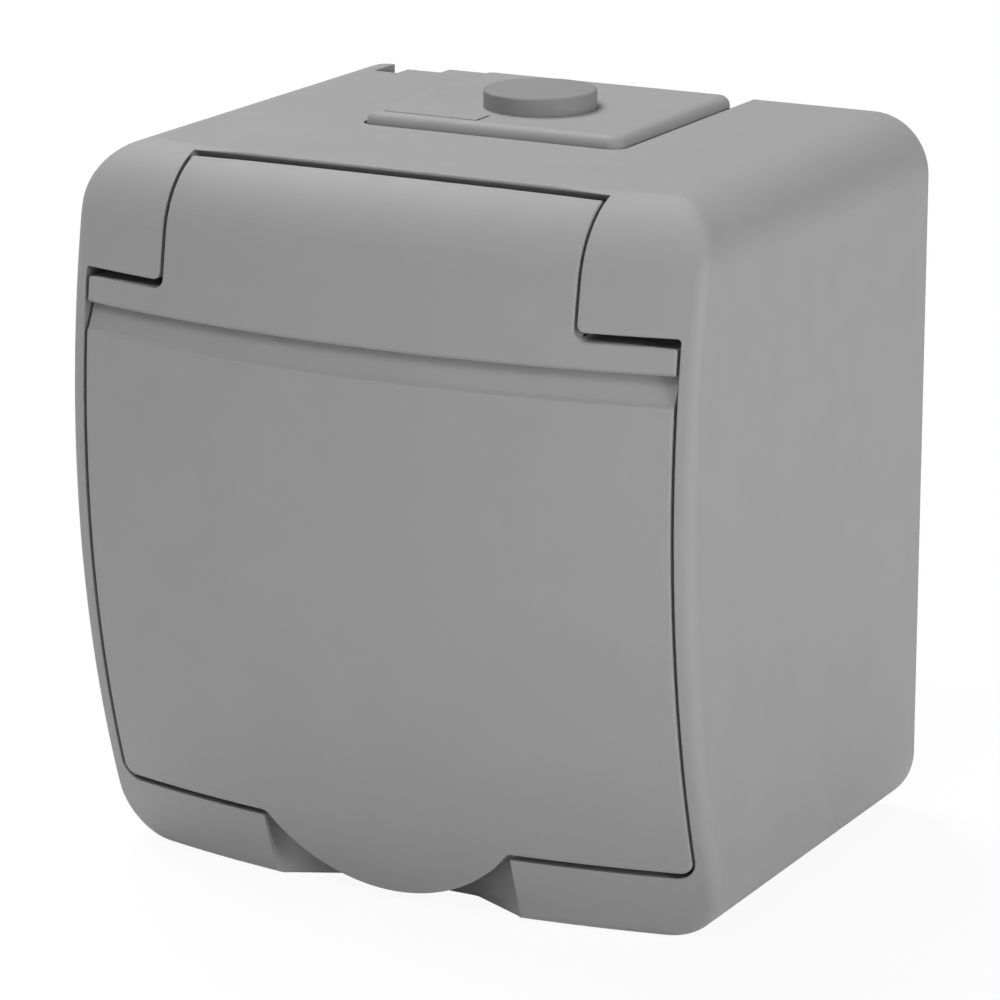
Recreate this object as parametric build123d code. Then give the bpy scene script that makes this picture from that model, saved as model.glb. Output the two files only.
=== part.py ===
from build123d import *
import math
import os

# Outdoor surface-mounted socket outlet with a sprung weather lid, on the CEE 7/3 side-earth pattern.
# Millimetres. X is to the right seen from the front, the front faces -Y, +Z is up.
# The wall is the plane y = 0 and the origin is the centre of the back face.
# A depth is a distance from the wall towards the front, so depth d lies at y = -d.

# Housing outline and moulded front
width = 70.0
height = 75.0
corner_radius = 6.2
cover_wall = 1.8
crown_depth = 59.4
crown_height = 8.0
front_radius = 125.0
bulge_radius = 134.0
brow_radius = 9.1
brow_rise = 0.2
edge_radius = 1.4

# Mask plate behind the lid
plate_setback = 13.4
plate_wall = 2.0

# Lid
lid_gap = 0.35
lid_bottom_gap = 0.6
lid_wall = 2.2
lid_shoulder_drop = 13.1
lid_shoulder_gap = 0.9
sill_height = 7.8
lid_corner_radius = 1.4
lid_shoulder_radius = 0.4
pocket_corner_radius = 2.2
lid_edge_radius = 0.25
lid_rim_wall = 1.5
lid_rim_clearance = 1.2
ear_width = 12.1
tab_half_width = 13.9
tab_bottom_rise = 1.0
tab_root_radius = 1.0
groove_drop = 2.7
groove_width = 3.0
groove_depth = 1.3
groove_step = 0.35
groove_bevel = 0.3
groove_backing = 1.4
groove_backing_margin = 1.5

# Hinge
hinge_setback = 4.47
hinge_drop = 5.5
pin_radius = 0.75
pin_running_clearance = 0.05
pin_seat_clearance = 0.02
pin_seat_depth = 2.0
pin_end_clearance = 0.1
snap_neck_width = 1.4
barrel_radius = 2.2
lip_radius = 5.38
lip_clearance = 0.8
eave_radius = 0.2
top_edge_setback = 3.3
ear_cheek = 3.2
ear_toe_radius = 0.8
shoulder_clearance = 0.25

# Lid spring
spring_wire_radius = 0.25
spring_mean_radius = 1.4
spring_pitch = 0.95
spring_turns = 5
spring_bay_half_width = 4.0
spring_rear_angle = 53.0
spring_front_angle = 169.0
spring_front_leg = 7.0
spring_leg_clearance = 0.1
spring_bay_clearance = 0.35

# Finger notch under the lid's tab
notch_half_width = 14.2
notch_cheek = 3.5
notch_inner_half_width = 7.0
notch_corner_radius = 2.0

# Top cut-out of the cover and the cable entry block of the base
entry_half_width = 14.7
entry_front_depth = 30.7
entry_back_depth = 4.0
entry_rise = 1.2
entry_edge_radius = 1.1
entry_corner_radius = 1.5
entry_gap = 0.3
score_left = -12.8
score_right = -2.0
score_setback = 1.3
score_return = 3.0
score_width = 0.3
score_depth = 0.3
pry_notch_left = -28.2
pry_notch_width = 6.8
pry_notch_depth = 2.0
pry_slit_width = 2.8
pry_slit_depth = 4.4

# Cable grommet
grommet_depth = 19.5
grommet_head_radius = 5.85
grommet_head_height = 1.9
grommet_neck_radius = 4.5
grommet_fit = 0.05
grommet_flange_radius = 5.6
grommet_flange_height = 1.4
grommet_hollow_radius = 3.2
grommet_membrane = 0.8
grommet_edge_radius = 0.3

# Base box
base_clearance = 0.4
base_wall = 1.8
base_floor = 2.5
seal_thickness = 1.6
wall_slot_spacing_x = 36.0
wall_slot_spacing_z = 52.0
wall_slot_radius = 2.25
wall_slot_length = 9.0
wall_boss_margin = 2.3
wall_boss_height = 1.5

# Screws
screw_radius = 1.75
screw_head_radius = 3.0
screw_head_height = 2.0
screw_head_chamfer = 0.4
screw_slot_width = 0.8
screw_slot_depth = 1.0
screw_clearance = 0.2
screw_grip = 0.03
screw_post_radius = 3.6
cover_screw_inset = 8.5
cover_screw_margin = 6.05
cover_screw_length = 18.0
carrier_screw_end = 5.0
terminal_screw_length = 6.0
screw_tip_room = 1.0

# Plug well
well_radius = 19.75
well_wall = 1.5
well_depth = 17.5
well_floor = 3.0
well_collar = 1.5
well_fit = 0.15
well_flange_radius = 24.2
well_flange_wall = 2.0
well_seal_thickness = 1.0
well_mouth_chamfer = 0.5
well_guide_width = 4.8
well_guide_height = 2.2
well_guide_drop = 3.0
pin_spacing = 19.0
pin_hole_radius = 2.7
earth_slot_clearance = 0.3

# Lid gasket and the rib that it closes on
gasket_radius = 22.4
gasket_width = 1.8
gasket_height = 3.0
gasket_rest_gap = 0.15
gasket_groove_depth = 1.0
gasket_groove_clearance = 0.05
gasket_holder_wall = 0.9
seal_rib_width = 1.0
seal_rib_height = 1.2

# Contact carrier and contacts
carrier_width = 46.0
carrier_height = 40.0
carrier_corner_radius = 4.0
carrier_depth = 14.8
carrier_gap = 0.2
carrier_screw_x = 18.5
carrier_screw_rise = 14.5
carrier_screw_setback = 9.8
contact_fit = 0.3
contact_sheet = 0.8
contact_strap_width = 4.5
contact_setback = 11.8
sleeve_bore_radius = 2.45
sleeve_wall = 0.7
sleeve_length = 9.5
sleeve_slot = 0.9
sleeve_slot_start = 1.5
terminal_x = 17.0
terminal_drop = 12.0
terminal_size = 8.0
terminal_opening = 2.6
clamp_size = 7.4
clamp_thickness = 1.2
clamp_lip = 1.0
clamp_lip_wall = 0.8
earth_bar_setback = 8.8
earth_bar_width = 6.0
earth_leg_radius = 18.8
earth_leg_rise = 4.0
earth_nose_radius = 17.2
earth_nose_rise = 10.0
earth_tip_radius = 18.4
earth_tip_rise = 14.0
earth_bend_radius = 1.0
earth_terminal_rise = 8.0

# Places worked out from the driving dimensions
half_width = width / 2
half_height = height / 2
bulge_axis_y = bulge_radius - crown_depth
bulge_axis = Axis((0, bulge_axis_y, 0), (0, 0, 1))
bulge_turn = 60.0
edge_slack = 0.05
free_reach = crown_depth + height
plate_depth = crown_depth - plate_setback
plate_back_depth = plate_depth - plate_wall
opening_half_width = half_width - cover_wall
lid_bottom_height = sill_height - half_height
lid_shoulder_height = half_height - lid_shoulder_drop
opening_bottom = lid_bottom_height - lid_bottom_gap
lid_half_width = opening_half_width - lid_gap
brow_top = half_height + brow_rise
neck_half_width = half_width - ear_width
tab_bottom_height = tab_bottom_rise - half_height
groove_high = lid_shoulder_height - groove_drop
groove_low = groove_high - groove_width
hinge_height = half_height - hinge_drop
hinge_front_fall = front_radius - math.sqrt(front_radius**2 - (hinge_height - crown_height) ** 2)
hinge_depth = crown_depth - hinge_front_fall - hinge_setback
top_edge_depth = hinge_depth - top_edge_setback
notch_side_depth = plate_depth + notch_cheek
ear_inner_x = neck_half_width + lid_gap
ear_bottom = lid_shoulder_height + lid_shoulder_gap
base_inset = cover_wall + base_clearance
rim_inset = base_inset + base_wall
base_rim_depth = plate_back_depth - seal_thickness
base_top = half_height - base_inset
entry_top = half_height + entry_rise
well_height = (lid_bottom_height + lid_shoulder_height) / 2
well_mouth_depth = plate_depth + well_collar
well_floor_depth = well_mouth_depth - well_depth
well_back_depth = well_floor_depth - well_floor
well_outer_radius = well_radius + well_wall
well_flange_depth = plate_back_depth - well_seal_thickness
seal_rib_depth = plate_depth + seal_rib_height
gasket_back_depth = seal_rib_depth + gasket_rest_gap
gasket_front_depth = gasket_back_depth + gasket_height
gasket_lip_depth = gasket_front_depth - gasket_groove_depth
carrier_front_depth = well_back_depth - carrier_gap
carrier_back_depth = carrier_front_depth - carrier_depth
carrier_screw_seat = carrier_front_depth - carrier_screw_setback
contact_back_depth = carrier_front_depth - contact_setback
earth_bar_depth = carrier_front_depth - earth_bar_setback
earth_leg_depth = well_floor_depth + earth_leg_rise
earth_nose_depth = well_floor_depth + earth_nose_rise
earth_tip_depth = well_floor_depth + earth_tip_rise
sleeve_radius = sleeve_bore_radius + sleeve_wall
contact_front_depth = contact_back_depth + contact_sheet
earth_bar_front = earth_bar_depth + contact_sheet
cover_screw_x = half_width - cover_screw_inset
cover_screws = [
    (-cover_screw_x, lid_bottom_height + cover_screw_margin),
    (cover_screw_x, lid_shoulder_height - cover_screw_margin),
]
carrier_screws = [
    (-carrier_screw_x, well_height + carrier_screw_rise),
    (carrier_screw_x, well_height + carrier_screw_rise),
]
carrier_rests = [
    (-carrier_screw_x, well_height - carrier_screw_rise),
    (carrier_screw_x, well_height - carrier_screw_rise),
]
wall_slots = [
    (side * wall_slot_spacing_x / 2, level * wall_slot_spacing_z / 2)
    for side in (-1, 1)
    for level in (-1, 1)
]
terminals = {
    "live": (-terminal_x, well_height - terminal_drop, contact_front_depth),
    "neutral": (terminal_x, well_height - terminal_drop, contact_front_depth),
    "earth": (0, well_height + earth_terminal_rise, earth_bar_front),
}


def prism(sketch, back, front):
    """A front-view sketch carried from one depth to another."""
    return extrude(Plane.XZ.offset(back) * sketch, front - back)


def side_slab(sketch, x_low, x_high):
    """A side-view sketch, drawn in y and z, carried from one x to another."""
    return extrude(Plane.YZ.offset(x_low) * sketch, x_high - x_low)


def top_slab(sketch, z_low, z_high):
    """A plan sketch, drawn in x and y, carried from one height to another."""
    return extrude(Plane.XY.offset(z_low) * sketch, z_high - z_low)


def span(a_low, a_high, b_low, b_high):
    """A rectangle between two places on each of a sketch's axes."""
    return Pos((a_low + a_high) / 2, (b_low + b_high) / 2) * Rectangle(a_high - a_low, b_high - b_low)


def block(x_low, x_high, back, front, z_low, z_high):
    """A box between two places on each axis, with y given as depths."""
    return prism(span(x_low, x_high, z_low, z_high), back, front)


def rod(x, z, radius, back, front):
    """A cylinder along the depth."""
    return prism(Pos(x, z) * Circle(radius), back, front)


def ring(x, z, inner, outer, back, front):
    """A flat ring along the depth."""
    return prism(Pos(x, z) * (Circle(outer) - Circle(inner)), back, front)


def axle(radius, x_low, x_high):
    """A cylinder on the hinge axis."""
    return side_slab(Pos(-hinge_depth, hinge_height) * Circle(radius), x_low, x_high)


def inset_outline(inset):
    """The housing's front-view outline, moved in by an inset."""
    return RectangleRounded(width - 2 * inset, height - 2 * inset, corner_radius - inset)


def mirrored(solid):
    """A solid together with its mirror image across the middle plane."""
    return solid + mirror(solid, about=Plane.YZ)


def arc_between(centre, radius, start, end):
    """The arc round a centre from one point to another, by the shorter way."""
    chord = Vector(start[0] + end[0] - 2 * centre[0], start[1] + end[1] - 2 * centre[1]).normalized()
    middle = (centre[0] + radius * chord.X, centre[1] + radius * chord.Y)
    return ThreePointArc(start, middle, end)


def turned(sketch):
    """A side-view sketch turned about the upright axis that gives the front its bulge."""
    return revolve((Plane.YZ * sketch).rotate(bulge_axis, -bulge_turn / 2), bulge_axis, bulge_turn)


def front_y(z):
    """Where the front arc stands at a height, in the middle plane."""
    return front_radius - crown_depth - math.sqrt(front_radius**2 - (z - crown_height) ** 2)


def crown(inset, top):
    """The solid under a moulded front skin that runs along a top, over the brow and down the front arc."""
    arc_radius = front_radius - inset
    arc_centre = (front_radius - crown_depth, crown_height)
    brow = brow_radius - inset
    brow_z = top - inset - brow
    reach = arc_radius - brow
    brow_y = arc_centre[0] - math.sqrt(reach**2 - (brow_z - crown_height) ** 2)
    scale = arc_radius / reach
    brow_start = (brow_y, top - inset)
    brow_end = (
        arc_centre[0] + (brow_y - arc_centre[0]) * scale,
        crown_height + (brow_z - crown_height) * scale,
    )
    foot_z = -height
    foot = (arc_centre[0] - math.sqrt(arc_radius**2 - (foot_z - crown_height) ** 2), foot_z)
    back_y = bulge_axis_y / 2
    profile = [
        Line((back_y, top - inset), brow_start),
        arc_between((brow_y, brow_z), brow, brow_start, brow_end),
        arc_between(arc_centre, arc_radius, brow_end, foot),
        Line(foot, (back_y, foot_z)),
        Line((back_y, foot_z), (back_y, top - inset)),
    ]
    return turned(make_face(profile))


def housing_form(inset):
    """The housing's closed outer form, moved in by an inset, with sharp front edges."""
    return crown(inset, brow_top) & prism(inset_outline(inset), 0, free_reach)


def moulded_faces(form):
    """The curved faces that make up a moulded front."""
    curved = (GeomType.REVOLUTION, GeomType.TORUS, GeomType.SPHERE, GeomType.BSPLINE)
    return form.faces().filter_by(lambda face: face.geom_type in curved)


def borders(edge, faces):
    """How many of some faces an edge belongs to."""
    return sum(1 for face in faces for side in face.edges() if side.is_same(edge))


def front_edges(form):
    """The closed run of edges where the moulded front meets the sides, top and bottom."""

    def on_rim(edge):
        middle = edge @ 0.5
        outer = abs(middle.X) > half_width - corner_radius or abs(middle.Z) > half_height - corner_radius
        return edge.geom_type != GeomType.LINE and middle.Y < -corner_radius and outer

    return form.edges().filter_by(on_rim)


def lid_outline(grow, foot, foot_radius, shoulder):
    """The lid's plate and neck in front view, moved out sideways by a gap, between two heights."""
    half = lid_half_width + grow
    neck = neck_half_width + grow
    plate = span(-half, half, foot, shoulder)
    plate = fillet(plate.vertices().group_by(Axis.Y)[0], foot_radius)
    outline = plate + span(-neck, neck, shoulder - brow_radius, free_reach)
    shoulders = outline.vertices().filter_by(lambda v: abs(v.Y - shoulder) < lid_gap)
    inner = shoulders.filter_by(lambda v: abs(v.X) < neck + lid_gap)
    outline = fillet(inner, ear_toe_radius + lid_gap - grow)
    shoulders = outline.vertices().filter_by(lambda v: abs(v.Y - shoulder) < lid_gap)
    outer = shoulders.filter_by(lambda v: abs(v.X) > half - lid_gap)
    return fillet(outer, lid_shoulder_radius)


def tab_outline():
    """The round finger tab in front view, the lower end of a circle."""
    sag = lid_bottom_height - tab_bottom_height
    radius = (tab_half_width**2 + sag**2) / (2 * sag)
    disc = Pos(0, tab_bottom_height + radius) * Circle(radius)
    return disc & span(-tab_half_width, tab_half_width, tab_bottom_height, lid_bottom_height)


def lid_pocket():
    """The room in the cover for the lid."""
    outline = lid_outline(lid_gap, opening_bottom, pocket_corner_radius, ear_bottom)
    pocket = prism(outline, plate_depth, free_reach)
    return pocket - block(-free_reach, free_reach, 0, top_edge_depth, half_height - cover_wall, free_reach)


def hinge_room():
    """The room in the cover for the swing of the hinge lip, under a rounded top edge."""
    corner = span(-top_edge_depth, eave_radius - top_edge_depth, half_height - eave_radius, free_reach)
    corner -= Pos(eave_radius - top_edge_depth, half_height - eave_radius) * Circle(eave_radius)
    room = axle(lip_radius + lip_clearance, -ear_inner_x, ear_inner_x)
    return room + side_slab(corner, -ear_inner_x, ear_inner_x)


def cover_hollows():
    """The hollows behind the hinge ears and behind the sill on both sides of the finger notch."""
    inner = housing_form(cover_wall)
    ear = block(ear_inner_x + ear_cheek, half_width, 0, free_reach, ear_bottom + cover_wall, half_height)
    sill_top = opening_bottom - cover_wall
    sill = block(notch_half_width + cover_wall, half_width, 0, free_reach, -half_height, sill_top)
    return mirrored(inner & ear) + mirrored(inner & sill)


def finger_notch():
    """The notch behind the lid's tab: straight cheeks, then walls that slant in to the mask plate."""
    corners = [
        (notch_half_width, -free_reach),
        (notch_half_width, -notch_side_depth),
        (notch_inner_half_width, -plate_depth),
        (-notch_inner_half_width, -plate_depth),
        (-notch_half_width, -notch_side_depth),
        (-notch_half_width, -free_reach),
    ]
    plan = make_face(Polyline(*corners, close=True))
    bends = plan.vertices().filter_by(lambda v: v.Y > -free_reach + notch_corner_radius)
    return top_slab(fillet(bends, notch_corner_radius), -free_reach, lid_bottom_height)


def hinge_seats():
    """The blind seats of the hinge pin in both ears, with the snap channels that the pin rises through."""
    seat_end = ear_inner_x + pin_seat_depth
    seat = axle(pin_radius + pin_seat_clearance, ear_inner_x, seat_end)
    channel = block(
        ear_inner_x,
        seat_end,
        hinge_depth - snap_neck_width / 2,
        hinge_depth + snap_neck_width / 2,
        ear_bottom,
        hinge_height,
    )
    return mirrored(seat + channel)


def top_cutout():
    """The cut-out in the cover's top for the cable entry block, and the pry notch beside it."""
    half = entry_half_width + entry_gap
    front = entry_front_depth + entry_gap
    plan = span(-half, half, -front, front)
    plan = fillet(plan.vertices().group_by(Axis.Y)[0], entry_corner_radius + entry_gap)
    plan += span(pry_notch_left, pry_notch_left + pry_notch_width, -pry_notch_depth, pry_notch_depth)
    plan += span(pry_notch_left, pry_notch_left + pry_slit_width, -pry_slit_depth, pry_slit_depth)
    return top_slab(plan, base_top, free_reach)


def make_front_cover():
    """The outer moulding: shell, mask plate, hinge ears, finger notch and top cut-out."""
    form = housing_form(0)
    cover = fillet(front_edges(form), edge_radius)
    cover -= lid_pocket()
    cover -= prism(inset_outline(cover_wall), -cover_wall, plate_back_depth)
    cover -= hinge_room()
    cover -= cover_hollows()
    cover -= finger_notch()
    cover -= hinge_seats()
    cover -= top_cutout()
    cover -= rod(0, well_height, well_outer_radius + well_fit, 0, free_reach)
    rib_inner = gasket_radius - seal_rib_width / 2
    cover += ring(0, well_height, rib_inner, rib_inner + seal_rib_width, plate_depth, seal_rib_depth)
    for x, z in cover_screws:
        cover -= rod(x, z, screw_radius + screw_clearance, 0, free_reach)
    return cover


def lid_groove():
    """The groove across the lid: a level upper wall, a floor that slants out and a bevelled lower edge."""
    outside = -crown_depth - groove_depth
    high_y = front_y(groove_high)
    low_y = front_y(groove_low)
    brink = groove_high + groove_bevel
    corners = [
        (outside, brink),
        (front_y(brink), brink),
        (high_y + groove_bevel, groove_high),
        (high_y + groove_depth, groove_high),
        (low_y + groove_step, groove_low + groove_step),
        (low_y, groove_low),
        (outside, groove_low),
    ]
    return turned(make_face(Polyline(*corners, close=True)))


def lid_rim():
    """The stiffening rim round the lid's plate, with a flat back edge in front of the mask plate."""
    inner = lid_half_width - lid_rim_wall
    outer = span(-lid_half_width, lid_half_width, lid_bottom_height, lid_shoulder_height)
    inside = span(-inner, inner, lid_bottom_height + lid_rim_wall, lid_shoulder_height - lid_rim_wall)
    return prism(outer - inside, plate_depth + lid_rim_clearance, free_reach)


def lid_barrel():
    """The hinge barrel in two halves, with the web that joins it to the lid's front."""
    web = span(-free_reach, -hinge_depth, hinge_height - barrel_radius, hinge_height)
    section = web + Pos(-hinge_depth, hinge_height) * Circle(barrel_radius)
    return mirrored(side_slab(section, spring_bay_half_width, neck_half_width))


def lid_gasket_holder():
    """The ring inside the lid that carries the gasket."""
    half = gasket_width / 2 + gasket_groove_clearance
    outer = gasket_radius + half + gasket_holder_wall
    inner = gasket_radius - half - gasket_holder_wall
    return ring(0, well_height, inner, outer, gasket_lip_depth, free_reach)


def lid_gasket_groove():
    """The groove in the lid's ribs that the gasket sits in."""
    half = gasket_width / 2 + gasket_groove_clearance
    return ring(0, well_height, gasket_radius - half, gasket_radius + half, 0, gasket_front_depth)


def shoulder_relief():
    """The room that the ears' lower front edges need while the shoulders swing past them."""
    ear_front_y = front_y(ear_bottom) + bulge_radius - math.sqrt(bulge_radius**2 - ear_inner_x**2)
    reach = math.hypot(-hinge_depth - ear_front_y, hinge_height - ear_bottom) + shoulder_clearance
    return mirrored(axle(reach, neck_half_width, half_width))


def lip_trim():
    """What the hinge lip loses behind the hinge axis so that it turns under the cover's top edge."""
    behind = span(-hinge_depth, 0, hinge_height - lip_radius, free_reach)
    return side_slab(behind, -half_width, half_width) - axle(lip_radius, -half_width, half_width)


def lid_form():
    """The lid's closed outer form: the moulded front within plate, neck and tab, with rounded edges."""
    outline = lid_outline(0, lid_bottom_height, lid_corner_radius, lid_shoulder_height) + tab_outline()

    def at_root(vertex):
        level = abs(vertex.Y - lid_bottom_height) < edge_slack
        return level and abs(abs(vertex.X) - tab_half_width) < edge_slack

    outline = fillet(outline.vertices().filter_by(at_root), tab_root_radius)
    form = crown(0, brow_top) & prism(outline, 0, free_reach)
    front = moulded_faces(form)

    def on_rim(edge):
        return borders(edge, front) == 1 and (edge @ 0.5).Z < brow_top - edge_slack

    return fillet(form.edges().filter_by(on_rim), lid_edge_radius)


def make_lid():
    """The lid: a moulded skin with neck, groove and tab, stiffened by rim, barrel and gasket ring."""
    form = lid_form()
    inner = crown(lid_wall, brow_top)
    backing = crown(lid_wall + groove_backing, brow_top)
    skin = form - inner
    band = block(
        -lid_half_width,
        lid_half_width,
        0,
        free_reach,
        groove_low - groove_backing_margin,
        groove_high + groove_backing_margin,
    )
    ribs = (lid_rim() + lid_gasket_holder() + lid_barrel()) & form
    ribs -= lid_gasket_groove()
    lid = skin + (band & (inner - backing)) + ribs
    lid -= lid_groove()
    lid -= shoulder_relief()
    lid -= lip_trim()
    coil_room = spring_mean_radius + spring_wire_radius + spring_bay_clearance
    lid -= axle(coil_room, -spring_bay_half_width, spring_bay_half_width)
    return lid - axle(pin_radius + pin_running_clearance, -half_width, half_width)


def make_lid_gasket():
    """The flat ring seal in the lid."""
    half = gasket_width / 2
    inner = gasket_radius - half
    outer = gasket_radius + half
    return ring(0, well_height, inner, outer, gasket_back_depth, gasket_front_depth)


def make_hinge_pin():
    """The steel pin through the lid's barrel, with its ends in the ears."""
    end = ear_inner_x + pin_seat_depth - pin_end_clearance
    return axle(pin_radius, -end, end)


def make_lid_spring():
    """The torsion spring on the hinge pin: one leg on the mask plate, one on the lid's inside."""
    turns = spring_turns + (spring_front_angle - spring_rear_angle) / 360
    length = spring_pitch * turns
    start = math.radians(spring_rear_angle)
    seat = Plane(
        origin=(-length / 2, -hinge_depth, hinge_height),
        x_dir=(0, math.cos(start), math.sin(start)),
        z_dir=(1, 0, 0),
    )
    coil_line = seat * Helix(spring_pitch, length, spring_mean_radius)
    section = Circle(spring_wire_radius)
    coil = sweep(Plane(coil_line @ 0, z_dir=coil_line % 0) * section, coil_line, is_frenet=True)
    rear = coil_line @ 0
    rear_way = coil_line % 0 * -1
    rear_reach = (-plate_depth - spring_leg_clearance - spring_wire_radius - rear.Y) / rear_way.Y
    rear_leg = extrude(Plane(rear, z_dir=rear_way) * section, rear_reach)
    front_leg = extrude(Plane(coil_line @ 1, z_dir=coil_line % 1) * section, spring_front_leg)
    return coil + rear_leg + front_leg


def screw_pad(x, z):
    """A screw post in front view, webbed to the base's side wall."""
    wall_x = math.copysign(half_width - rim_inset, x)
    web = span(min(x, wall_x), max(x, wall_x), z - screw_post_radius / 2, z + screw_post_radius / 2)
    return web + Pos(x, z) * Circle(screw_post_radius)


def make_housing_seal():
    """The frame seal between the base's rim and the mask plate, with an eyelet round each cover screw."""
    sketch = inset_outline(base_inset) - inset_outline(rim_inset)
    for x, z in cover_screws:
        sketch += screw_pad(x, z) & inset_outline(base_inset)
        sketch -= Pos(x, z) * Circle(screw_radius + screw_clearance)
    return prism(sketch, base_rim_depth, plate_back_depth)


def entry_block():
    """The cable entry block that stands out of the base's top, with rounded corners and top edges."""
    plan = span(-entry_half_width, entry_half_width, -entry_front_depth, -entry_back_depth)
    plan = fillet(plan.vertices(), entry_corner_radius)
    solid = top_slab(plan, base_top - base_wall, entry_top)
    return fillet(solid.edges().group_by(Axis.Z)[-1], entry_edge_radius)


def entry_score():
    """The fine scored line on the entry block, along its front edge and back towards the grommet."""
    score_front = entry_front_depth - score_setback
    across = span(score_left, score_right, -score_front, score_width - score_front)
    back = span(score_right - score_width, score_right, -score_front, score_return - score_front)
    return top_slab(across + back, entry_top - score_depth, free_reach)


def wall_slot(x, z, grow, back, front):
    """A level slot for a wall screw, moved out by a margin."""
    straight = wall_slot_length - 2 * wall_slot_radius
    return prism(Pos(x, z) * SlotCenterToCenter(straight, 2 * (wall_slot_radius + grow)), back, front)


def make_base_box():
    """The base that is screwed to the wall: tray, screw posts, wall-screw bosses and cable entry."""
    base = prism(inset_outline(base_inset), 0, base_rim_depth)
    base -= prism(inset_outline(rim_inset), base_floor, free_reach)
    base += entry_block()
    entry_inner = entry_half_width - base_wall
    base -= block(
        -entry_inner,
        entry_inner,
        entry_back_depth + base_wall,
        entry_front_depth - base_wall,
        base_top - rim_inset,
        entry_top - base_wall,
    )
    base -= entry_score()
    bore = Pos(0, -grommet_depth) * Circle(grommet_neck_radius + grommet_fit)
    base -= top_slab(bore, base_top - rim_inset, free_reach)
    for x, z in cover_screws:
        base += prism(screw_pad(x, z) & inset_outline(base_inset), 0, base_rim_depth)
        hole_end = plate_depth - cover_screw_length - screw_tip_room
        base -= rod(x, z, screw_radius + screw_grip, hole_end, free_reach)
    for x, z in carrier_screws + carrier_rests:
        base += rod(x, z, screw_post_radius, 0, carrier_back_depth)
    for x, z in carrier_screws:
        base -= rod(x, z, screw_radius + screw_grip, carrier_screw_end - screw_tip_room, free_reach)
    for x, z in wall_slots:
        base += wall_slot(x, z, wall_boss_margin, 0, base_floor + wall_boss_height)
        base -= wall_slot(x, z, 0, -base_floor, free_reach)
    return base


def make_cable_grommet():
    """The pierceable cable grommet: a flat head, a neck in the entry block and a tapered flange inside."""
    neck_low = entry_top - base_wall
    head_top = entry_top + grommet_head_height
    foot = neck_low - grommet_flange_height
    lip = (grommet_neck_radius + grommet_flange_radius) / 2
    corners = [
        (0, head_top),
        (grommet_head_radius, head_top),
        (grommet_head_radius, entry_top),
        (grommet_neck_radius, entry_top),
        (grommet_neck_radius, neck_low),
        (grommet_flange_radius, neck_low),
        (lip, foot),
        (grommet_hollow_radius, foot),
        (grommet_hollow_radius, head_top - grommet_membrane),
        (0, head_top - grommet_membrane),
    ]
    half = make_face(Polyline(*corners, close=True))
    brim = half.vertices().filter_by(lambda v: v.X > grommet_flange_radius and v.Y > entry_top)
    half = fillet(brim, grommet_edge_radius)
    return Pos(0, -grommet_depth) * revolve(Plane.XZ * half, Axis.Z)


def make_socket_well():
    """The round plug well with its flange, pin holes, side guides and slots for the earth clips."""
    well = rod(0, well_height, well_outer_radius, well_back_depth, well_mouth_depth)
    well -= rod(0, well_height, well_radius, well_floor_depth, free_reach)
    mouth = well.edges().filter_by(GeomType.CIRCLE).group_by(Axis.Y)[0].sort_by(SortBy.RADIUS)[0]
    well = chamfer(mouth, well_mouth_chamfer)
    flange_back = well_flange_depth - well_flange_wall
    well += ring(0, well_height, well_radius, well_flange_radius, flange_back, well_flange_depth)
    guide = block(
        well_radius - well_guide_height,
        well_radius + well_wall / 2,
        well_floor_depth,
        well_mouth_depth - well_guide_drop,
        well_height - well_guide_width / 2,
        well_height + well_guide_width / 2,
    )
    well += mirrored(guide)
    for side in (-1, 1):
        well -= rod(side * pin_spacing / 2, well_height, pin_hole_radius, 0, well_mouth_depth)
    slot_half = earth_bar_width / 2 + earth_slot_clearance
    slot_low = earth_leg_radius - contact_sheet / 2 - earth_slot_clearance
    slot_high = earth_leg_radius + contact_sheet / 2 + earth_slot_clearance
    slot = block(-slot_half, slot_half, 0, well_floor_depth, slot_low, slot_high)
    well -= Pos(0, 0, well_height) * (slot + mirror(slot, about=Plane.XY))
    return well


def make_well_seal():
    """The ring seal between the well's flange and the mask plate."""
    inner = well_outer_radius + well_fit
    return ring(0, well_height, inner, well_flange_radius, well_flange_depth, plate_back_depth)


def contact_outline(side, grow):
    """One pin contact in front view, grown by a fit: sleeve pad, strap and terminal."""
    pin_x = side * pin_spacing / 2
    end_x = side * terminal_x
    end_z = well_height - terminal_drop
    half = contact_strap_width / 2 + grow
    reach = terminal_size / 2 + grow
    upright = span(pin_x - half, pin_x + half, end_z - half, well_height)
    across = span(min(pin_x, end_x), max(pin_x, end_x), end_z - half, end_z + half)
    pad = Pos(pin_x, well_height) * Circle(sleeve_radius + grow)
    return pad + upright + across + span(end_x - reach, end_x + reach, end_z - reach, end_z + reach)


def make_contact(side):
    """A pin contact: a slotted sleeve on a flat strap that ends under its terminal clamp."""
    x = side * pin_spacing / 2
    sleeve_front = contact_front_depth + sleeve_length
    contact = prism(contact_outline(side, 0), contact_back_depth, contact_front_depth)
    contact += ring(x, well_height, sleeve_bore_radius, sleeve_radius, contact_front_depth, sleeve_front)
    slot_start = contact_front_depth + sleeve_slot_start
    half = sleeve_slot / 2
    top = well_height + sleeve_radius
    bottom = well_height - sleeve_radius
    contact -= block(x - half, x + half, slot_start, sleeve_front, bottom, top)
    end_z = well_height - terminal_drop
    return contact - rod(side * terminal_x, end_z, screw_radius + screw_grip, 0, free_reach)


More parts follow.
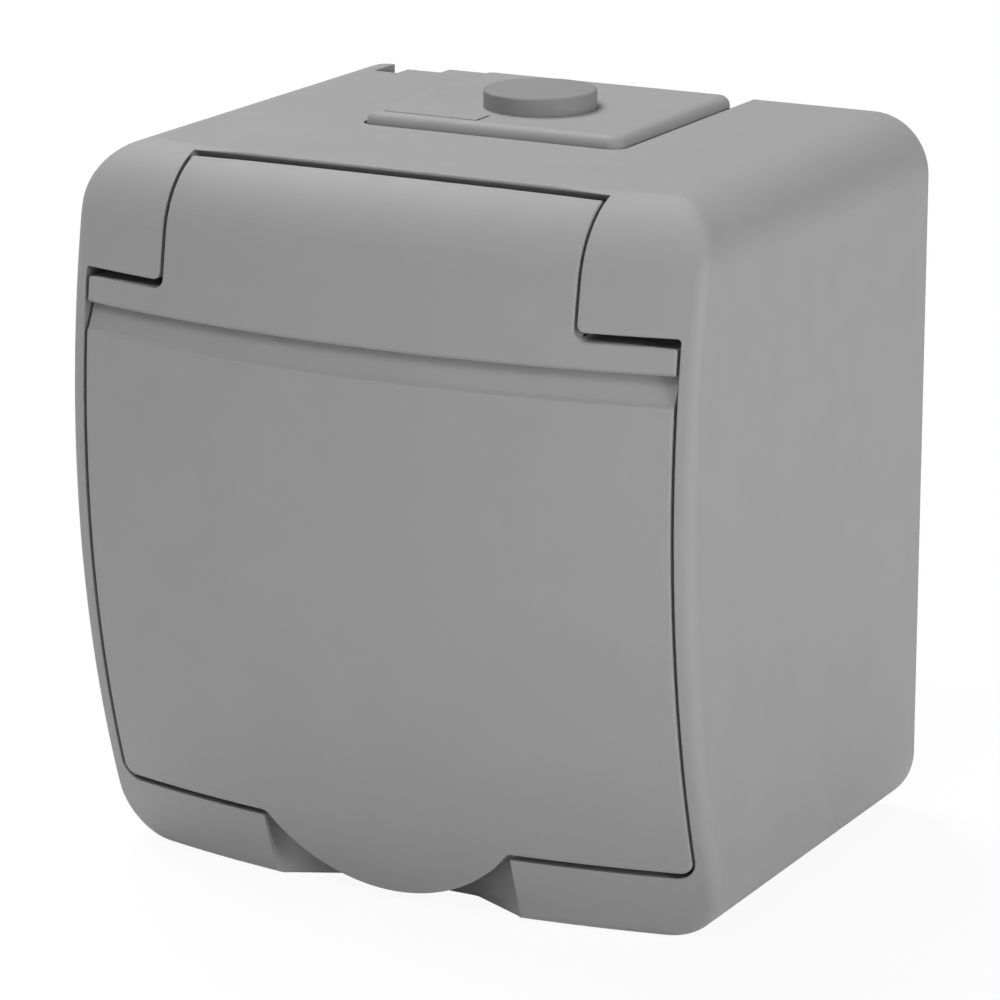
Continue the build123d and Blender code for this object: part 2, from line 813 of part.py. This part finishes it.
def make_earth_bar():
    """The bent earth strip: a bar across the carrier with a sprung clip up each side of the well."""
    middle = -earth_bar_depth - contact_sheet / 2
    clip = [
        (-earth_tip_depth, earth_tip_radius),
        (-earth_nose_depth, earth_nose_radius),
        (-earth_leg_depth, earth_leg_radius),
        (middle, earth_leg_radius),
    ]
    lower = [(y, well_height - r) for y, r in clip]
    upper = [(y, well_height + r) for y, r in reversed(clip)]
    path = FilletPolyline(*lower, *upper, radius=earth_bend_radius)
    bar = side_slab(trace(path, contact_sheet), -earth_bar_width / 2, earth_bar_width / 2)
    return bar - rod(0, well_height + earth_terminal_rise, screw_radius + screw_grip, 0, earth_leg_depth)


def make_terminal_clamp(x, z, floor_depth):
    """A saddle clamp with two lips, held over a terminal by its screw."""
    half = clamp_size / 2
    back = floor_depth + terminal_opening
    clamp = block(x - half, x + half, back, back + clamp_thickness, z - half, z + half)
    for edge in (x - half, x + half - clamp_lip_wall):
        clamp += block(edge, edge + clamp_lip_wall, back - clamp_lip, back, z - half, z + half)
    return clamp - rod(x, z, screw_radius + screw_clearance / 2, 0, free_reach)


def make_screw(x, z, seat_depth, length):
    """A slotted pan-head screw whose head sits at a depth."""
    front = seat_depth + screw_head_height
    head = rod(x, z, screw_head_radius, seat_depth, front)
    rim = head.edges().group_by(Axis.Y)[0]
    head = chamfer(rim, screw_head_chamfer)
    screw = head + rod(x, z, screw_radius, seat_depth - length, seat_depth)
    half = screw_slot_width / 2
    reach = screw_head_radius
    return screw - block(x - reach, x + reach, front - screw_slot_depth, front, z - half, z + half)


def make_contact_carrier():
    """The insulating block behind the well, with open pockets for the contacts, terminals and earth bar."""
    outline = Pos(0, well_height) * RectangleRounded(carrier_width, carrier_height, carrier_corner_radius)
    carrier = prism(outline, carrier_back_depth, carrier_front_depth)
    for side in (-1, 1):
        carrier -= prism(contact_outline(side, contact_fit), contact_back_depth, free_reach)
    half = earth_bar_width / 2 + contact_fit
    carrier -= block(-half, half, earth_bar_depth, free_reach, -half_height, half_height)
    reach = terminal_size / 2 + contact_fit
    rise = well_height + earth_terminal_rise
    carrier -= block(-reach, reach, earth_bar_depth, free_reach, rise - reach, rise + reach)
    for x, z, floor_depth in terminals.values():
        tip = floor_depth + terminal_opening + clamp_thickness - terminal_screw_length - screw_tip_room
        carrier -= rod(x, z, screw_radius + screw_clearance, tip, free_reach)
    for x, z in carrier_screws:
        carrier -= rod(x, z, screw_radius + screw_clearance, 0, free_reach)
        carrier -= rod(x, z, screw_head_radius + screw_clearance, carrier_screw_seat, free_reach)
    return carrier


def all_parts():
    """Every node's name with its solid."""
    parts = {
        "base_box": make_base_box(),
        "front_cover": make_front_cover(),
        "housing_seal": make_housing_seal(),
        "cable_grommet": make_cable_grommet(),
        "socket_well": make_socket_well(),
        "well_seal": make_well_seal(),
        "contact_carrier": make_contact_carrier(),
        "live_contact": make_contact(-1),
        "neutral_contact": make_contact(1),
        "earth_bar": make_earth_bar(),
        "lid": make_lid(),
        "lid_gasket": make_lid_gasket(),
        "hinge_pin": make_hinge_pin(),
        "lid_spring": make_lid_spring(),
    }
    for name, (x, z, floor_depth) in terminals.items():
        seat = floor_depth + terminal_opening + clamp_thickness
        parts[f"{name}_terminal_clamp"] = make_terminal_clamp(x, z, floor_depth)
        parts[f"{name}_terminal_screw"] = make_screw(x, z, seat, terminal_screw_length)
    for name, (x, z) in zip(("left", "right"), carrier_screws):
        length = carrier_screw_seat - carrier_screw_end
        parts[f"carrier_screw_{name}"] = make_screw(x, z, carrier_screw_seat, length)
    for name, (x, z) in zip(("left", "right"), cover_screws):
        parts[f"cover_screw_{name}"] = make_screw(x, z, plate_depth, cover_screw_length)
    return parts


os.makedirs("parts", exist_ok=True)
for node, solid in all_parts().items():
    export_step(solid, f"parts/{node}.step")
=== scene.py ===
import math

import bpy
from mathutils import Matrix, Vector


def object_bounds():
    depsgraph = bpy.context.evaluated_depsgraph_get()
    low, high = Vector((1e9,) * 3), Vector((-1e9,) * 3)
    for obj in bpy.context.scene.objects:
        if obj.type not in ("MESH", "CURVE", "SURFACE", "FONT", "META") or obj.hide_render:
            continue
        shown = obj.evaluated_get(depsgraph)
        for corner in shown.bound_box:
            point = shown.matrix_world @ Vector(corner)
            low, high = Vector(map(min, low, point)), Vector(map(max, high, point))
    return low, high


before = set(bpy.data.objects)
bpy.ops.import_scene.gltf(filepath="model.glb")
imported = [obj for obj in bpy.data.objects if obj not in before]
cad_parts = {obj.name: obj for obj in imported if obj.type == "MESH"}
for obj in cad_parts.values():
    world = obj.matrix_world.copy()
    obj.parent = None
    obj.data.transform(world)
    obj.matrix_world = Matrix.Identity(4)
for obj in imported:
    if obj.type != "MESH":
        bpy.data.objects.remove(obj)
cad_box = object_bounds()

# The photograph's viewing angle
camera_turn = math.radians(28.289)
camera_rise = math.radians(15.669)
camera_distance = 0.5038
camera_side = -0.013372
camera_up = -0.007771
focal_share = 4.6488
sensor_width = 36.0

# Smooth shading across tangent faces; the lid keeps the flat edges of its groove
smooth_angle = math.radians(24)
lid_smooth_angle = math.radians(11)

# Moulded plastic and rubber, lengths in metres and noise scales per metre
matt_gloss = 0.22
cloud_scale = 140.0
gloss_scale = 160.0
gloss_swing = 0.03
fine_grain = (4200.0, 0.000012)
rubber_grain = (1800.0, 0.00004)
seal_grain = (1500.0, 0.00005)
thermoset_grain = (1400.0, 0.00004)
edge_softness = 0.0002
grommet_softness = 0.0001
housing_grey = (0.288, 0.290, 0.288)
grommet_grey = (0.225, 0.227, 0.226)
well_grey = (0.25, 0.252, 0.25)
seal_black = (0.022, 0.022, 0.024)
thermoset_cream = (0.52, 0.5, 0.45)

# Metals
line_scale = 900.0
line_depth = 0.00002
tarnish_scale = 220.0
tarnish_share = 0.86
brass_yellow = (0.78, 0.58, 0.28)
pin_steel = (0.58, 0.58, 0.59)
wire_steel = (0.5, 0.5, 0.52)
zinc_grey = (0.62, 0.63, 0.65)

# Floor, lamps and the soft light all round
floor_reach = 3.0
floor_drop = 0.0001
floor_tone = 0.9
floor_white_share = 0.93
lamp_target = (0.0, -0.03, 0.0)
world_strength = 0.45
world_shades = [((0.75, 0.3, 0.6), 0.95), ((-0.95, 0.1, 0.1), 0.6)]
shade_start = 0.1
shade_end = 0.85


def new_material(name):
    """A node material with its tree, its shader and its output."""
    material = bpy.data.materials.new(name)
    material.use_nodes = True
    tree = material.node_tree
    return material, tree, tree.nodes["Principled BSDF"]


def noise(tree, scale, detail=3.0, roughness=0.55):
    """A noise texture in the object's own coordinates."""
    place = tree.nodes.new("ShaderNodeTexCoord")
    node = tree.nodes.new("ShaderNodeTexNoise")
    node.inputs["Scale"].default_value = scale
    node.inputs["Detail"].default_value = detail
    node.inputs["Roughness"].default_value = roughness
    tree.links.new(place.outputs["Object"], node.inputs["Vector"])
    return node


def ramp(tree, source, low, high, start=0.35, end=0.65):
    """A colour ramp between two colours, or two greys, driven by a texture."""
    node = tree.nodes.new("ShaderNodeValToRGB")
    first, last = node.color_ramp.elements
    first.position = start
    last.position = end
    first.color = low
    last.color = high
    tree.links.new(source.outputs["Fac"], node.inputs["Fac"])
    return node


def grey(value):
    """An opaque neutral colour."""
    return (value, value, value, 1.0)


def tinted(colour, factor):
    """A colour made lighter or darker."""
    return (colour[0] * factor, colour[1] * factor, colour[2] * factor, 1.0)


def moulded(name, colour, rough, grain, variation, edge_round=0.0):
    """Moulded plastic or rubber: cloudy colour, uneven gloss, fine grain and softly rounded edges."""
    material, tree, shader = new_material(name)
    shader.inputs["Specular IOR Level"].default_value = matt_gloss
    cloud = noise(tree, cloud_scale, 4.0)
    tone = ramp(tree, cloud, tinted(colour, 1.0 - variation), tinted(colour, 1.0 + variation))
    tree.links.new(tone.outputs["Color"], shader.inputs["Base Color"])
    gloss = noise(tree, gloss_scale, 5.0)
    sheen = ramp(tree, gloss, grey(rough - gloss_swing), grey(rough + gloss_swing))
    tree.links.new(sheen.outputs["Color"], shader.inputs["Roughness"])
    grain_scale, grain_depth = grain
    pits = noise(tree, grain_scale, 2.0)
    bump = tree.nodes.new("ShaderNodeBump")
    bump.inputs["Strength"].default_value = 1.0
    bump.inputs["Distance"].default_value = grain_depth
    tree.links.new(pits.outputs["Fac"], bump.inputs["Height"])
    if edge_round:
        bevel = tree.nodes.new("ShaderNodeBevel")
        bevel.samples = 6
        bevel.inputs["Radius"].default_value = edge_round
        tree.links.new(bevel.outputs["Normal"], bump.inputs["Normal"])
    tree.links.new(bump.outputs["Normal"], shader.inputs["Normal"])
    return material


def metal(name, colour, rough, stretch):
    """Drawn or stamped metal: fine lines along one way, uneven polish and a slight tarnish."""
    material, tree, shader = new_material(name)
    shader.inputs["Metallic"].default_value = 1.0
    place = tree.nodes.new("ShaderNodeTexCoord")
    mapping = tree.nodes.new("ShaderNodeMapping")
    mapping.inputs["Scale"].default_value = stretch
    tree.links.new(place.outputs["Object"], mapping.inputs["Vector"])
    lines = tree.nodes.new("ShaderNodeTexNoise")
    lines.inputs["Scale"].default_value = line_scale
    lines.inputs["Detail"].default_value = 3.0
    tree.links.new(mapping.outputs["Vector"], lines.inputs["Vector"])
    tarnish = noise(tree, tarnish_scale, 4.0)
    tone = ramp(tree, tarnish, tinted(colour, tarnish_share), tinted(colour, 1.0))
    tree.links.new(tone.outputs["Color"], shader.inputs["Base Color"])
    polish = ramp(tree, lines, grey(rough - 0.08), grey(rough + 0.1))
    tree.links.new(polish.outputs["Color"], shader.inputs["Roughness"])
    bump = tree.nodes.new("ShaderNodeBump")
    bump.inputs["Distance"].default_value = line_depth
    tree.links.new(lines.outputs["Fac"], bump.inputs["Height"])
    tree.links.new(bump.outputs["Normal"], shader.inputs["Normal"])
    return material


def dress(nodes, material):
    """Gives CAD nodes a material and smooth shading."""
    for name in nodes:
        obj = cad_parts[name]
        obj.data.materials.clear()
        obj.data.materials.append(material)
        obj.data.shade_smooth()
        obj.data.set_sharp_from_angle(angle=lid_smooth_angle if name == "lid" else smooth_angle)


dress(
    ["front_cover", "lid", "base_box"],
    moulded("housing_plastic", housing_grey, 0.6, fine_grain, 0.01, edge_softness),
)
dress(["cable_grommet"], moulded("grommet_rubber", grommet_grey, 0.6, rubber_grain, 0.015, grommet_softness))
dress(["housing_seal", "well_seal", "lid_gasket"], moulded("seal_rubber", seal_black, 0.65, seal_grain, 0.1))
dress(["socket_well"], moulded("well_plastic", well_grey, 0.5, fine_grain, 0.02, edge_softness))
dress(["contact_carrier"], moulded("carrier_thermoset", thermoset_cream, 0.55, thermoset_grain, 0.05))
dress(
    ["live_contact", "neutral_contact", "earth_bar"],
    metal("contact_brass", brass_yellow, 0.3, (1.0, 8.0, 1.0)),
)
dress(["hinge_pin"], metal("drawn_steel", pin_steel, 0.28, (0.1, 4.0, 4.0)))
dress(["lid_spring"], metal("spring_steel", wire_steel, 0.3, (1.0, 3.0, 3.0)))
fasteners = [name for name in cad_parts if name.endswith(("_screw", "_clamp", "_left", "_right"))]
dress(fasteners, metal("zinc_steel", zinc_grey, 0.32, (2.0, 2.0, 2.0)))


def seen_white(tree, shade, share):
    """Mixes a shader with plain white where it is looked at, straight, by gloss or through glass."""
    path = tree.nodes.new("ShaderNodeLightPath")
    either = tree.nodes.new("ShaderNodeMath")
    either.operation = "MAXIMUM"
    tree.links.new(path.outputs["Is Camera Ray"], either.inputs[0])
    tree.links.new(path.outputs["Is Glossy Ray"], either.inputs[1])
    seen = tree.nodes.new("ShaderNodeMath")
    seen.operation = "MAXIMUM"
    tree.links.new(either.outputs[0], seen.inputs[0])
    tree.links.new(path.outputs["Is Transmission Ray"], seen.inputs[1])
    amount = tree.nodes.new("ShaderNodeMath")
    amount.operation = "MULTIPLY"
    amount.inputs[1].default_value = share
    tree.links.new(seen.outputs[0], amount.inputs[0])
    white = tree.nodes.new("ShaderNodeEmission")
    white.inputs["Color"].default_value = grey(1.0)
    white.inputs["Strength"].default_value = 1.0
    mix = tree.nodes.new("ShaderNodeMixShader")
    tree.links.new(amount.outputs[0], mix.inputs["Fac"])
    tree.links.new(shade, mix.inputs[1])
    tree.links.new(white.outputs["Emission"], mix.inputs[2])
    return mix.outputs["Shader"]


def make_floor():
    """A wide pale floor under the housing that keeps a faint shadow."""
    reach = floor_reach
    level = cad_box[0][2] - floor_drop
    mesh = bpy.data.meshes.new("floor")
    corners = [(-reach, -reach, level), (reach, -reach, level), (reach, reach, level), (-reach, reach, level)]
    mesh.from_pydata(corners, [], [(0, 1, 2, 3)])
    floor = bpy.data.objects.new("floor", mesh)
    bpy.context.scene.collection.objects.link(floor)
    material = bpy.data.materials.new("floor_white")
    material.use_nodes = True
    tree = material.node_tree
    tree.nodes.remove(tree.nodes["Principled BSDF"])
    matt = tree.nodes.new("ShaderNodeBsdfDiffuse")
    matt.inputs["Color"].default_value = grey(floor_tone)
    shader = seen_white(tree, matt.outputs["BSDF"], floor_white_share)
    tree.links.new(shader, tree.nodes["Material Output"].inputs["Surface"])
    mesh.materials.append(material)


def make_world(strength, shades):
    """Soft light from all round, weaker from some ways, and seen as white."""
    world = bpy.data.worlds.new("studio")
    bpy.context.scene.world = world
    world.use_nodes = True
    tree = world.node_tree
    soft = tree.nodes["Background"]
    soft.inputs["Color"].default_value = grey(1.0)
    place = tree.nodes.new("ShaderNodeTexCoord")
    amount = tree.nodes.new("ShaderNodeValue")
    amount.outputs[0].default_value = strength
    total = amount.outputs[0]
    for way, share in shades:
        facing = tree.nodes.new("ShaderNodeVectorMath")
        facing.operation = "DOT_PRODUCT"
        facing.inputs[1].default_value = Vector(way).normalized()
        tree.links.new(place.outputs["Generated"], facing.inputs[0])
        level = tree.nodes.new("ShaderNodeMapRange")
        level.interpolation_type = "SMOOTHSTEP"
        level.inputs["From Min"].default_value = shade_start
        level.inputs["From Max"].default_value = shade_end
        level.inputs["To Min"].default_value = 1.0
        level.inputs["To Max"].default_value = 1.0 - share
        tree.links.new(facing.outputs["Value"], level.inputs["Value"])
        times = tree.nodes.new("ShaderNodeMath")
        times.operation = "MULTIPLY"
        tree.links.new(total, times.inputs[0])
        tree.links.new(level.outputs["Result"], times.inputs[1])
        total = times.outputs[0]
    tree.links.new(total, soft.inputs["Strength"])
    path = tree.nodes.new("ShaderNodeLightPath")
    white = tree.nodes.new("ShaderNodeBackground")
    white.inputs["Color"].default_value = grey(1.0)
    white.inputs["Strength"].default_value = 1.0
    mix = tree.nodes.new("ShaderNodeMixShader")
    tree.links.new(path.outputs["Is Camera Ray"], mix.inputs["Fac"])
    tree.links.new(soft.outputs["Background"], mix.inputs[1])
    tree.links.new(white.outputs["Background"], mix.inputs[2])
    tree.links.new(mix.outputs["Shader"], tree.nodes["World Output"].inputs["Surface"])


def make_softbox(name, place, target, size, power):
    """A square soft lamp that looks at a target."""
    data = bpy.data.lights.new(name, "AREA")
    data.shape = "SQUARE"
    data.size = size
    data.energy = power
    lamp = bpy.data.objects.new(name, data)
    lamp.location = place
    way = Vector(target) - Vector(place)
    lamp.rotation_euler = way.to_track_quat("-Z", "Y").to_euler()
    bpy.context.scene.collection.objects.link(lamp)


def make_camera():
    """A long lens at the photograph's angle."""
    data = bpy.data.cameras.new("camera")
    data.sensor_width = sensor_width
    data.lens = focal_share * sensor_width
    data.clip_start = 0.01
    data.clip_end = 20.0
    camera = bpy.data.objects.new("camera", data)
    right = Vector((math.cos(camera_turn), math.sin(camera_turn), 0.0))
    level = Vector((math.sin(camera_turn), -math.cos(camera_turn), 0.0))
    back = level * math.cos(camera_rise) + Vector((0.0, 0.0, math.sin(camera_rise)))
    up = back.cross(right)
    turn = Matrix((right, up, back)).transposed().to_4x4()
    place = back * camera_distance + right * camera_side + up * camera_up
    camera.matrix_world = Matrix.Translation(place) @ turn
    bpy.context.scene.collection.objects.link(camera)
    bpy.context.scene.camera = camera


make_floor()
make_world(world_strength, world_shades)
make_softbox("top_softbox", (-0.55, 0.3, 1.05), lamp_target, 0.7, 14.2)
make_softbox("front_softbox", (-0.1, -0.7, 1.0), lamp_target, 0.5, 5.0)
make_softbox("side_softbox", (1.18, -0.27, 0.05), lamp_target, 0.5, 12.8)
make_camera()
bpy.context.scene.view_settings.view_transform = "Standard"
